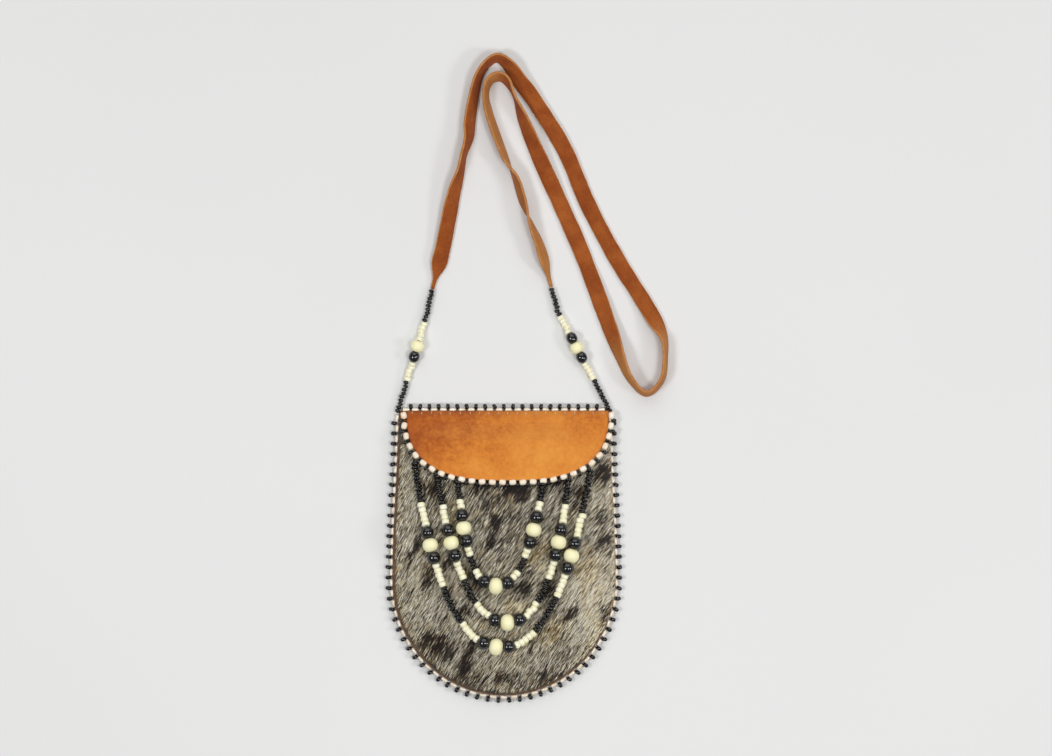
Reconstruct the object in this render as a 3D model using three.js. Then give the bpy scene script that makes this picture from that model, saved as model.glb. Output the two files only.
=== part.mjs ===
// A small purse of sealskin and suede, trimmed with strung beads. It lies on its back with its front
// facing up: X runs across it, Y from its round bottom towards the strap, and Z up. Lengths are in
// millimetres, and the origin is on the surface that it lies on, under the middle of the pouch.
import * as THREE from "three";

// Pouch: two panels sewn together round the sides and the bottom
const TOP_WIDTH = 105;
const FULL_WIDTH = 110.8;
const POUCH_HEIGHT = 142.4;
const ROUND_HEIGHT = 57.6;
const BACK_THICKNESS = 1.6;
const SEAM_THICKNESS = 1.6;
const FUR_THICKNESS = 3;
const FUR_RISE = 22;
const CROWN_HEIGHT = 9;
const CROWN_REACH = 36;
const MOUTH_DROP = 15;
const MOUTH_HEIGHT = 5.6;
const MOUTH_REACH = 50;

// Flap: a half-oval sewn to the top of the back panel
const FLAP_WIDTH = 100.8;
const FLAP_DEPTH = 34;
const FLAP_SHIFT = 1.9;
const FLAP_FULLNESS = 2.7;
const FLAP_THICKNESS = 1.5;
const FLAP_SEAM = 4.5;
const FLAP_TRIM_DROP = 5.5;

// Small beads, sewn along the edges or strung on threads
const EDGE_CREAM_RADIUS = 0.9;
const EDGE_BLACK_RADIUS = 1.4;
const EDGE_STANDOFF = 1.7;
const SIDE_REPEAT = 5.15;
const TOP_REPEAT = 4.76;
const EDGE_CORNER = 2.4;
const FLAP_CREAM_RADIUS = 1.75;
const FLAP_BLACK_RADIUS = 1.4;
const FLAP_REPEAT = 5.2;
const BLACK_RADIUS = 1.55;
const BLACK_LENGTH = 1.85;
const CREAM_RADIUS = 1.85;
const CREAM_LENGTH = 2.45;
const STRAP_CREAM_RADIUS = 1.65;
const STRAP_CREAM_LENGTH = 2;
const THREAD_RADIUS = 0.45;

// Large beads, bored for the thread
const ROUND_RADIUS = 3.1;
const ROUND_LENGTH = 6.1;
const WOOD_RADIUS = 3.9;
const WOOD_LENGTH = 6.8;
const STRAP_ROUND_RADIUS = 2.7;
const STRAP_ROUND_LENGTH = 5.3;
const STRAP_WOOD_RADIUS = 3.2;
const STRAP_WOOD_LENGTH = 5.5;
const BORE_CLEARANCE = 0.35;
const BEAD_FLAT = 0.36;
const BEAD_GAP = 0.42;

// Swags: where each is stitched, as shares of the flap's half-width, its lean to one side, as a share
// of the flap's width, and its runs of beads
const SWAGS = [
  { name: "swag_outer", left: 0.84, right: 0.755, lean: -0.008, black: [10, 11, 11, 11], cream: 5 },
  { name: "swag_middle", left: 0.648, right: 0.564, lean: 0.02, black: [7, 7, 7, 6], cream: 4 },
  { name: "swag_inner", left: 0.46, right: 0.33, lean: -0.02, black: [4, 4, 4, 4], cream: 2 },
];
const STITCH_GAP = 0.5;
const THREAD_SLOPE = 0.35;

// Strap: a flat suede strip carried by two short strands
const STRAP_WIDTH = 8;
const STRAP_THICKNESS = 1.3;
const STRAP_END_WIDTH = 1.9;
const STRAP_TAPER = 11;
const STRAND_CREAMS = 5;

// Gap between pieces that touch, and between the strap and the surface under it
const CLEARANCE = 0.3;
const FLOOR_GAP = 0.1;

// Facets of the panels, strings and beads
const FRONT_COLUMNS = 12;
const FLAP_COLUMNS = 12;
const TRIM_SIDES = 4;
const SWAG_SIDES = 5;
const BEAD_SIDES = 8;
const STRAP_STEPS = 80;

const top = POUCH_HEIGHT / 2;
const bottom = -POUCH_HEIGHT / 2;
const shoulder = bottom + ROUND_HEIGHT;
const mouth = top - MOUTH_DROP;
const seamZ = BACK_THICKNESS + CLEARANCE;
const edgeZ = (seamZ + SEAM_THICKNESS) / 2;
const up = new THREE.Vector3(0, 0, 1);

const material = (color, roughness) => new THREE.MeshStandardMaterial({ color, roughness, metalness: 0 });
const sealskin = material("#6b6456", 0.7);
const backHide = material("#a9673a", 0.85);
const flapSuede = material("#c67a33", 0.9);
const strapSuede = material("#a5521e", 0.9);
const seedGlass = material("#1b1b1d", 0.25);
const edgeGlass = material("#e9dcbc", 0.4);
const roundGlass = material("#101012", 0.15);
const paleWood = material("#f2e2a0", 0.6);

const { lerp, smoothstep, clamp, degToRad } = THREE.MathUtils;

// A body made of equal rings of points, closed at both ends.
function loft(rings) {
  const sides = rings[0].length;
  const faces = [];
  for (let r = 0; r + 1 < rings.length; r++) {
    for (let i = 0; i < sides; i++) {
      const j = (i + 1) % sides;
      const here = r * sides;
      const next = here + sides;
      faces.push(here + i, here + j, next + j, here + i, next + j, next + i);
    }
  }
  const last = (rings.length - 1) * sides;
  for (let i = 1; i + 1 < sides; i++) {
    faces.push(0, i + 1, i, last, last + i, last + i + 1);
  }
  return new THREE.BufferGeometry().setFromPoints(rings.flat()).setIndex(faces);
}

// A panel with a top and an under surface, given row by row across its outline.
function panel(rows, halfWidth, middle, columns, topZ, underZ) {
  const across = columns + 1;
  const points = [];
  for (const surface of [topZ, underZ]) {
    for (const y of rows) {
      for (let i = 0; i < across; i++) {
        const x = middle + halfWidth(y) * ((2 * i) / columns - 1);
        points.push(new THREE.Vector3(x, y, surface(x, y)));
      }
    }
  }
  const under = rows.length * across;
  const faces = [];
  const quad = (a, b, c, d) => faces.push(a, b, c, a, c, d);
  for (let r = 0; r + 1 < rows.length; r++) {
    for (let i = 0; i < columns; i++) {
      const a = r * across + i;
      const b = a + across;
      quad(a, b, b + 1, a + 1);
      quad(under + a, under + a + 1, under + b + 1, under + b);
    }
  }
  const rim = [];
  for (let r = 0; r < rows.length; r++) rim.push(r * across);
  for (let i = 1; i < across; i++) rim.push(under - across + i);
  for (let r = rows.length - 2; r >= 0; r--) rim.push(r * across + columns);
  for (let i = columns - 1; i > 0; i--) rim.push(i);
  rim.forEach((a, k) => {
    const b = rim[(k + 1) % rim.length];
    quad(a, under + a, under + b, b);
  });
  return new THREE.BufferGeometry().setFromPoints(points).setIndex(faces);
}

// A string of beads as one body: stations along it, each with a radius.
function string(stations, sides) {
  const rings = stations.map(({ at, radius }, k) => {
    const before = stations[Math.max(k - 1, 0)].at;
    const after = stations[Math.min(k + 1, stations.length - 1)].at;
    const along = after.clone().sub(before).normalize();
    const side = up.clone().cross(along).normalize();
    const over = along.clone().cross(side);
    return Array.from({ length: sides }, (_, i) => {
      const turn = (2 * Math.PI * i) / sides;
      return at
        .clone()
        .addScaledVector(side, radius * Math.cos(turn))
        .addScaledVector(over, radius * Math.sin(turn));
    });
  });
  return loft(rings);
}

// Pouch outline: nearly straight sides that spread a little, and a half-ellipse below them.
function pouchHalfWidth(y) {
  if (y >= shoulder) {
    return lerp(FULL_WIDTH, TOP_WIDTH, smoothstep(y, shoulder, top)) / 2;
  }
  return (FULL_WIDTH / 2) * Math.sqrt(1 - ((shoulder - y) / ROUND_HEIGHT) ** 2);
}

function seamDistance(x, y) {
  if (y >= shoulder) return pouchHalfWidth(y) - Math.abs(x);
  const reach = Math.hypot((2 * x) / FULL_WIDTH, (shoulder - y) / ROUND_HEIGHT);
  return (1 - reach) * (FULL_WIDTH / 2);
}

function frontUnder(x, y) {
  const share = clamp(seamDistance(x, y) / CROWN_REACH, 0, 1);
  const height = lerp(CROWN_HEIGHT, MOUTH_HEIGHT, smoothstep(y, mouth - MOUTH_REACH, mouth));
  return seamZ + height * (1 - (1 - share) ** 2);
}

function frontTop(x, y) {
  const share = clamp(seamDistance(x, y) / FUR_RISE, 0, 1);
  return frontUnder(x, y) + lerp(SEAM_THICKNESS, FUR_THICKNESS, 1 - (1 - share) ** 2);
}

const roundRows = [12, 24, 36, 47, 57, 66, 75, 84].map(
  (angle) => shoulder - ROUND_HEIGHT * Math.sin(degToRad(angle)),
);
function sideRows(from, count) {
  return Array.from({ length: count + 1 }, (_, i) => lerp(from, shoulder, i / count));
}
const frontRows = [...sideRows(mouth, 6), ...roundRows];
const backRows = [...sideRows(top, 5), ...roundRows];

// Flap outline: a superellipse that hangs from the top seam.
function flapHalfWidth(y) {
  const share = clamp((top - y) / FLAP_DEPTH, 0, 1);
  return (FLAP_WIDTH / 2) * (1 - share ** FLAP_FULLNESS) ** (1 / FLAP_FULLNESS);
}

function flapUnder(x, y) {
  if (y <= mouth) return frontTop(x, y) + CLEARANCE;
  const share = clamp((y - mouth) / (MOUTH_DROP - FLAP_SEAM), 0, 1);
  return lerp(frontTop(x, mouth) + CLEARANCE, seamZ, share);
}

const flapRows = [top, top - FLAP_SEAM, mouth];
for (const angle of [36, 50, 62, 73, 85]) {
  const share = Math.sin(degToRad(angle)) ** (2 / FLAP_FULLNESS);
  const y = top - FLAP_DEPTH * share;
  if (y < mouth) flapRows.push(y);
}

// A curve round an outline, down its left side and up its right one.
function outline(rows, halfWidth, middle) {
  const side = (sign) => rows.map((y) => new THREE.Vector3(middle + sign * halfWidth(y), y, 0));
  return new THREE.CatmullRomCurve3([...side(-1), ...side(1).reverse()]);
}

// Edging: beads of two kinds in turn along a curve, each set off it by its own distance.
function edging(curve, repeat, kinds, heightAt) {
  const count = 2 * Math.round(curve.getLength() / repeat) + 1;
  const stations = [];
  for (let k = 0; k < 2 * count + 1; k++) {
    const share = k / (2 * count);
    const along = curve.getTangentAt(share);
    const outward = along.clone().cross(up);
    const kind = kinds[((k - 1) / 2) % 2];
    const offset = kind ? kind.offset : (kinds[0].offset + kinds[1].offset) / 2;
    const at = curve.getPointAt(share).addScaledVector(outward, offset);
    at.z = heightAt(at);
    stations.push({ at, radius: kind ? kind.radius : THREAD_RADIUS });
  }
  return string(stations, TRIM_SIDES);
}

const creamOffset = EDGE_CREAM_RADIUS + CLEARANCE;
const pouchTrim = [
  { radius: EDGE_CREAM_RADIUS, offset: creamOffset },
  { radius: EDGE_BLACK_RADIUS, offset: creamOffset + EDGE_STANDOFF },
];
const flapTrim = [
  { radius: FLAP_CREAM_RADIUS, offset: FLAP_CREAM_RADIUS + CLEARANCE },
  { radius: FLAP_BLACK_RADIUS, offset: FLAP_CREAM_RADIUS + CLEARANCE },
];

const black = { radius: BLACK_RADIUS, length: BLACK_LENGTH };
const cream = { radius: CREAM_RADIUS, length: CREAM_LENGTH };
const round = { radius: ROUND_RADIUS, length: ROUND_LENGTH, bored: roundGlass };
const wood = { radius: WOOD_RADIUS, length: WOOD_LENGTH, bored: paleWood };
const strapCream = { radius: STRAP_CREAM_RADIUS, length: STRAP_CREAM_LENGTH };
const strapRound = { radius: STRAP_ROUND_RADIUS, length: STRAP_ROUND_LENGTH, bored: roundGlass };
const strapWood = { radius: STRAP_WOOD_RADIUS, length: STRAP_WOOD_LENGTH, bored: paleWood };

const run = (bead, count) => Array.from({ length: count }, () => bead);

// Each large bead is turned with a bore that clears its thread.
function boredBead({ radius, length }) {
  const bore = THREAD_RADIUS + BORE_CLEARANCE;
  const half = length / 2 - BEAD_GAP;
  const flat = (length * BEAD_FLAT) / 2;
  const profile = [
    [bore, -half],
    [radius, -flat],
    [radius, flat],
    [bore, half],
    [bore, -half],
  ];
  return new THREE.LatheGeometry(
    profile.map(([x, y]) => new THREE.Vector2(x, y)),
    BEAD_SIDES,
  );
}

// Beads in order on a thread. Small ones are part of the string, and large ones hang loose on it.
function strung(name, beads, sides, placeAt) {
  const starts = [];
  let length = 0;
  for (const bead of beads) {
    starts.push(length);
    length += bead.length;
  }
  // A thread is lifted by its largest beads and slopes down to the small ones beside them.
  const lift = (s) =>
    Math.max(
      ...beads.map(({ radius, length: long }, k) => {
        const beyond = Math.abs(s - starts[k] - long / 2) - long / 2;
        return radius - THREAD_SLOPE * Math.max(beyond, 0);
      }),
    );
  const place = (s) => placeAt(s, lift(s));
  const stations = [{ at: place(0), radius: THREAD_RADIUS }];
  const group = new THREE.Group();
  let number = 0;
  beads.forEach((bead, k) => {
    const from = starts[k];
    const to = from + bead.length;
    if (bead.bored) {
      const ends = [place(from), place(to)];
      number += 1;
      const mesh = new THREE.Mesh(boredBead(bead), bead.bored);
      mesh.name = `${name}_bead_${number}`;
      mesh.position.lerpVectors(ends[0], ends[1], 0.5);
      mesh.quaternion.setFromUnitVectors(new THREE.Vector3(0, 1, 0), ends[1].sub(ends[0]).normalize());
      group.add(mesh);
    } else {
      stations.push({ at: place((from + to) / 2), radius: bead.radius });
    }
    stations.push({ at: place(to), radius: THREAD_RADIUS });
  });
  const thread = new THREE.Mesh(string(stations, sides), seedGlass);
  thread.name = `${name}_strand`;
  group.add(thread);
  group.userData.end = stations.at(-1).at;
  return group;
}

// Where a strand leaves the flap's edging, clear of its beads, at a share of the flap's half-width.
function stitchPoint(share, sign) {
  const trimOffset = FLAP_CREAM_RADIUS + CLEARANCE;
  const halfWidth = FLAP_WIDTH / 2 + trimOffset;
  const depth = FLAP_DEPTH + trimOffset;
  const n = FLAP_FULLNESS;
  const across = share * halfWidth;
  const below = depth * (1 - share ** n) ** (1 / n);
  const outward = new THREE.Vector2(across ** (n - 1) / halfWidth ** n, below ** (n - 1) / depth ** n);
  outward.normalize();
  outward.multiplyScalar(FLAP_CREAM_RADIUS + STITCH_GAP + BLACK_RADIUS * outward.x);
  return new THREE.Vector2(FLAP_SHIFT + sign * (across + outward.x), top - below - outward.y);
}

// A swag is a string of fixed length that hangs in a catenary from two stitches on the flap's edge.
function swag({ name, left, right, lean: leanShare, black: blacks, cream: creams }) {
  const trio = [...run(cream, creams), round, wood, round, ...run(cream, creams)];
  const beads = blacks.flatMap((count, k) => [...run(black, count), ...(k < 3 ? trio : [])]);
  const length = beads.reduce((sum, bead) => sum + bead.length, 0);

  const start = stitchPoint(left, -1);
  const end = stitchPoint(right, 1);
  const span = end.x - start.x;
  const rise = end.y - start.y;
  const level = Math.sqrt(length ** 2 - rise ** 2);
  let low = span / 40;
  let high = span * 40;
  for (let i = 0; i < 60; i++) {
    const tried = (low + high) / 2;
    if (2 * tried * Math.sinh(span / (2 * tried)) > level) low = tried;
    else high = tried;
  }
  // The catenary's own measures are counted from its lowest point.
  const startTurn = Math.asinh(rise / level) - span / (2 * low);
  const startLength = low * Math.sinh(startTurn);
  const startHeight = low * Math.cosh(startTurn);
  const lean = leanShare * FLAP_WIDTH;
  const placeAt = (s, lift) => {
    const fromLowest = startLength + s;
    const height = Math.hypot(low, fromLowest);
    const share = (startHeight - height) / (startHeight - low);
    const x = start.x + low * (Math.asinh(fromLowest / low) - startTurn) + lean * share;
    const y = start.y + height - startHeight;
    return new THREE.Vector3(x, y, frontTop(x, y) + CLEARANCE + lift);
  };
  return strung(name, beads, SWAG_SIDES, placeAt);
}

// The strands leave the pouch's top corners. Their points are set off from the corner, on the surface.
const leftCorner = new THREE.Vector3(-TOP_WIDTH / 2, top, 0);
const rightCorner = new THREE.Vector3(TOP_WIDTH / 2, top, 0);
const leftRoute = [
  [-0.4, 0.9],
  [3.9, 15],
  [7.4, 26.5],
  [12.4, 43.3],
  [16.1, 58.5],
  [18.1, 67],
];
const rightRoute = [
  [0.1, 0.9],
  [-7.8, 16.2],
  [-13.9, 27.5],
  [-20.4, 40.3],
  [-24.9, 48.5],
  [-29.1, 63],
  [-31.2, 71],
];
const strapTrio = [...run(strapCream, STRAND_CREAMS), strapRound, strapWood, strapRound];
const strapPair = [...run(strapCream, STRAND_CREAMS), strapRound, strapWood];
const leftBeads = [...run(black, 8), ...strapPair, ...run(strapCream, STRAND_CREAMS), ...run(black, 9)];
const rightBeads = [...run(black, 9), ...strapTrio, ...run(strapCream, STRAND_CREAMS), ...run(black, 8)];

function strapStrand(name, corner, route, beads) {
  const curve = new THREE.CatmullRomCurve3(route.map(([x, y]) => new THREE.Vector3(x, y, 0).add(corner)));
  const whole = curve.getLength();
  return strung(name, beads, TRIM_SIDES, (s, lift) => curve.getPointAt(s / whole).setZ(FLOOR_GAP + lift));
}

// Strap route from the left strand to the right one: across, above the pouch's top, and its roll in degrees.
const strapRoute = [
  [-30.7, 81, 15],
  [-25.4, 107.5, 36],
  [-21.9, 119.5, 63],
  [-20.2, 128, 72],
  [-17.6, 136.5, 60],
  [-17, 146, 47],
  [-14, 163, 60],
  [-10.1, 172, 64],
  [-3.6, 176.8, 60],
  [2.5, 173, 42],
  [7.5, 166, 22],
  [16.1, 154.3, 8],
  [30.6, 130.5, 4],
  [42, 103.7, 0],
  [56.1, 77, 0],
  [68.6, 57, -5],
  [75.5, 45.5, -25],
  [80, 37, -64],
  [80.8, 28, -76],
  [79.3, 15.8, -76],
  [71.6, 8.6, -66],
  [63.4, 15.8, -68],
  [58, 28, -52],
  [53, 42, -20],
  [40, 77, 0],
  [28.4, 103.7, -2],
  [17.6, 127.5, -20],
  [10.2, 145, -56],
  [5.6, 157, -75],
  [1.6, 165, -66],
  [-2.6, 167.5, -56],
  [-7.4, 165, -66],
  [-9.1, 157.5, -72],
  [-6.5, 146, -64],
  [0.6, 127, -72],
  [6, 116.5, -108],
  [9.6, 105, -112],
  [13.6, 93.5, -78],
  [18.6, 81, -58],
];

// The strip turns on its edge at its bends, and its lower edge stays on the surface.
function strap(leftEnd, rightEnd) {
  const gap = new THREE.Vector3(0, CLEARANCE, 0);
  const points = [
    leftEnd.clone().add(gap),
    ...strapRoute.map(([x, y]) => new THREE.Vector3(x, top + y, 0)),
    rightEnd.clone().add(gap),
  ].map((point) => point.setZ(0));
  const first = strapRoute[0][2];
  const final = strapRoute.at(-1)[2];
  const rolls = [first, ...strapRoute.map((entry) => entry[2]), final];
  const curve = new THREE.CatmullRomCurve3(points, false, "catmullrom", 0.5);
  const rollCurve = new THREE.SplineCurve(rolls.map((roll, k) => new THREE.Vector2(k, roll)));
  const lengths = curve.getLengths(STRAP_STEPS);
  const whole = lengths.at(-1);
  const rings = [];
  for (let k = 0; k <= STRAP_STEPS; k++) {
    const t = k / STRAP_STEPS;
    const fromEnd = Math.min(lengths[k], whole - lengths[k]);
    const width = lerp(STRAP_END_WIDTH, STRAP_WIDTH, smoothstep(fromEnd, 0, STRAP_TAPER)) / 2;
    const half = STRAP_THICKNESS / 2;
    const roll = degToRad(rollCurve.getPoint(t).y);
    const along = curve.getTangent(t);
    const side = up.clone().cross(along).applyAxisAngle(along, roll);
    const over = along.clone().cross(side);
    const middle = curve.getPoint(t);
    middle.z = FLOOR_GAP + width * Math.abs(side.z) + half * Math.abs(over.z);
    const corner = (w, h) => middle.clone().addScaledVector(side, w).addScaledVector(over, h);
    rings.push([corner(width, -half), corner(width, half), corner(-width, half), corner(-width, -half)]);
  }
  return loft(rings);
}

function named(name, geometry, look) {
  const mesh = new THREE.Mesh(geometry, look);
  mesh.name = name;
  return mesh;
}

const flat = (z) => () => z;
const rowsBelow = (rows, limit) => [limit, ...rows.filter((y) => y < limit)];
const sideCurve = outline(rowsBelow(backRows, top - EDGE_CORNER), pouchHalfWidth, 0);
const topCurve = new THREE.LineCurve3(
  new THREE.Vector3(TOP_WIDTH / 2 - EDGE_CORNER, top, 0),
  new THREE.Vector3(-TOP_WIDTH / 2 + EDGE_CORNER, top, 0),
);
const flapCurve = outline(rowsBelow(flapRows, top - FLAP_TRIM_DROP), flapHalfWidth, FLAP_SHIFT);
const flapTrimZ = (at) => frontTop(at.x, at.y) + CLEARANCE + FLAP_CREAM_RADIUS;

const pouch = new THREE.Group();
pouch.add(
  named("back_panel", panel(backRows, pouchHalfWidth, 0, 1, flat(BACK_THICKNESS), flat(0)), backHide),
  named("front_panel", panel(frontRows, pouchHalfWidth, 0, FRONT_COLUMNS, frontTop, frontUnder), sealskin),
  named("side_edging", edging(sideCurve, SIDE_REPEAT, pouchTrim, flat(edgeZ)), edgeGlass),
  named("top_edging", edging(topCurve, TOP_REPEAT, pouchTrim, flat(edgeZ)), edgeGlass),
);

const flapTop = (x, y) => flapUnder(x, y) + FLAP_THICKNESS;
const flap = new THREE.Group();
flap.add(
  named("flap", panel(flapRows, flapHalfWidth, FLAP_SHIFT, FLAP_COLUMNS, flapTop, flapUnder), flapSuede),
  named("flap_edging", edging(flapCurve, FLAP_REPEAT, flapTrim, flapTrimZ), edgeGlass),
  ...SWAGS.map(swag),
);

const leftStrand = strapStrand("strap_left", leftCorner, leftRoute, leftBeads);
const rightStrand = strapStrand("strap_right", rightCorner, rightRoute, rightBeads);
const strapMesh = named("strap", strap(leftStrand.userData.end, rightStrand.userData.end), strapSuede);

const purse = new THREE.Group();
purse.add(pouch, flap, leftStrand, rightStrand, strapMesh);

export default purse;
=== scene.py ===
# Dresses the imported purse: sealskin with its hair, suede flap and strap, and every bead.
import math
import bpy
import numpy as np
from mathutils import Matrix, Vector


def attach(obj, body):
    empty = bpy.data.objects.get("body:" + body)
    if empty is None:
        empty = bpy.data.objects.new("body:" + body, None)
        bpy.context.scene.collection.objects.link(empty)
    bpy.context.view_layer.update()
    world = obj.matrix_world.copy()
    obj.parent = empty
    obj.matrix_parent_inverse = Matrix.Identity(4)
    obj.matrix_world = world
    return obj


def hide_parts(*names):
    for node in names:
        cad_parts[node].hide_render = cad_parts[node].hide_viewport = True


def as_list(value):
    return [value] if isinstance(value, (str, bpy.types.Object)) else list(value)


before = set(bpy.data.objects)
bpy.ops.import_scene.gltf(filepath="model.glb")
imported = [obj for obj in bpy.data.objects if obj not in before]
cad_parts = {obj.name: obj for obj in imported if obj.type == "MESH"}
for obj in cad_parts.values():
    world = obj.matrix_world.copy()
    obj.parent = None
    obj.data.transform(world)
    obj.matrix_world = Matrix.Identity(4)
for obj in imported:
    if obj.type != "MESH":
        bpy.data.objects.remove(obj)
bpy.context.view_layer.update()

MM = 0.001
UP = np.array([0, 0, 1])
rng = np.random.default_rng(7)

# Sizes of the solids, in millimetres
TOP_WIDTH = 105
FULL_WIDTH = 110.8
POUCH_HEIGHT = 142.4
ROUND_HEIGHT = 57.6
BACK_THICKNESS = 1.6
SEAM_THICKNESS = 1.6
FUR_THICKNESS = 3
FUR_RISE = 22
CROWN_HEIGHT = 9
CROWN_REACH = 36
MOUTH_DROP = 15
MOUTH_HEIGHT = 5.6
MOUTH_REACH = 50
FLAP_WIDTH = 100.8
FLAP_DEPTH = 34
FLAP_SHIFT = 1.9
FLAP_FULLNESS = 2.7
FLAP_THICKNESS = 1.5
FLAP_SEAM = 4.5
SIDE_REPEAT = 5.15
TOP_REPEAT = 4.76
EDGE_CORNER = 2.4
FLAP_CREAM_RADIUS = 1.75
FLAP_REPEAT = 5.2
STITCH_GAP = 0.5
STRAND_RADIUS = 1.55
THREAD_SLOPE = 0.35
STRAP_WIDTH = 8
STRAP_THICKNESS = 1.3
STRAP_END_WIDTH = 1.9
STRAP_TAPER = 11
CLEARANCE = 0.3
FLOOR_GAP = 0.1

# Radius and length of each kind of bead on a thread, as drawn
BEADS = {
    "black": (1.86, 1.85),
    "cream": (1.95, 2.45),
    "round": (3.32, 6.1),
    "wood": (4.05, 6.8),
    "strap_black": (1.4, 1.85),
    "strap_cream": (1.65, 2.0),
    "strap_round": (2.75, 5.3),
    "strap_wood": (3.25, 5.5),
}
# Where each swag's ends hang, as shares of the flap's half-width, its lean, its runs of black beads, the
# cream beads beside a group of large ones, and the y and z of the axis it turns about, as in the record
SWAGS = {
    "swag_outer": (0.84, 0.755, -0.008, (10, 11, 11, 11), 5, (42.9, 7.2)),
    "swag_middle": (0.648, 0.564, 0.02, (7, 7, 7, 6), 4, (37.4, 10.3)),
    "swag_inner": (0.46, 0.33, -0.02, (4, 4, 4, 4), 2, (34.9, 11.7)),
}

TOP = POUCH_HEIGHT / 2
BOTTOM = -TOP
SHOULDER = BOTTOM + ROUND_HEIGHT
MOUTH = TOP - MOUTH_DROP
SEAM_Z = BACK_THICKNESS + CLEARANCE
EDGE_Z = (SEAM_Z + SEAM_THICKNESS) / 2


# Shapes of the panels, as in the solids
def smoothstep(value, low, high):
    share = np.clip((value - low) / (high - low), 0, 1)
    return share * share * (3 - 2 * share)


def mix(a, b, share):
    return a + (b - a) * share


def eased(distance, reach):
    return 1 - (1 - np.clip(distance / reach, 0, 1)) ** 2


def unit(vector):
    return vector / np.linalg.norm(vector)


def half_width(y):
    straight = mix(FULL_WIDTH, TOP_WIDTH, smoothstep(y, SHOULDER, TOP)) / 2
    below = np.clip((SHOULDER - y) / ROUND_HEIGHT, 0, 1)
    return np.where(y >= SHOULDER, straight, FULL_WIDTH / 2 * np.sqrt(1 - below**2))


def seam_distance(x, y):
    below = np.maximum(SHOULDER - y, 0) / ROUND_HEIGHT
    reach = np.hypot(2 * x / FULL_WIDTH, below)
    return np.where(y >= SHOULDER, half_width(y) - np.abs(x), (1 - reach) * FULL_WIDTH / 2)


def front_under(x, y):
    height = mix(CROWN_HEIGHT, MOUTH_HEIGHT, smoothstep(y, MOUTH - MOUTH_REACH, MOUTH))
    return SEAM_Z + height * eased(seam_distance(x, y), CROWN_REACH)


def front_top(x, y):
    return front_under(x, y) + mix(SEAM_THICKNESS, FUR_THICKNESS, eased(seam_distance(x, y), FUR_RISE))


def flap_outline(y, width, depth):
    """Half the width, at a height, of a sheet with the flap's outline."""
    share = np.clip((TOP - y) / depth, 0, 1)
    return width / 2 * (1 - share**FLAP_FULLNESS) ** (1 / FLAP_FULLNESS)


def flap_half_width(y):
    return flap_outline(y, FLAP_WIDTH, FLAP_DEPTH)


def flap_under(x, y):
    on_front = front_top(x, y) + CLEARANCE
    share = np.clip((y - MOUTH) / (MOUTH_DROP - FLAP_SEAM), 0, 1)
    ramp = mix(front_top(x, MOUTH) + CLEARANCE, SEAM_Z, share)
    return np.where(y <= MOUTH, on_front, ramp)


def add_object(name, data):
    made = bpy.data.objects.new(name, data)
    bpy.context.scene.collection.objects.link(made)
    return made


# Camera: straight above, framed as the photograph is, with two pixels to a millimetre
IMAGE_WIDTH = 1052
PIXELS_PER_MM = 2
VIEW_CENTRE = (11.1, 87.7)
VIEW_HEIGHT = 8
lens = bpy.data.cameras.new("camera")
lens.lens = 250
lens.sensor_width = 36
distance = IMAGE_WIDTH / PIXELS_PER_MM * lens.lens / lens.sensor_width
camera = add_object("camera", lens)
camera.location = Vector((*VIEW_CENTRE, VIEW_HEIGHT + distance)) * MM
bpy.context.scene.camera = camera

# Materials
# The colour sockets of a Mix node, by number because its other sockets have the same names
MIX_INPUTS = (0, 6, 7)
MIX_RESULT = 2


def srgb(code):
    parts = [int(code[i : i + 2], 16) / 255 for i in (1, 3, 5)]
    linear = [p / 12.92 if p <= 0.04045 else ((p + 0.055) / 1.055) ** 2.4 for p in parts]
    return (*linear, 1)


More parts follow.
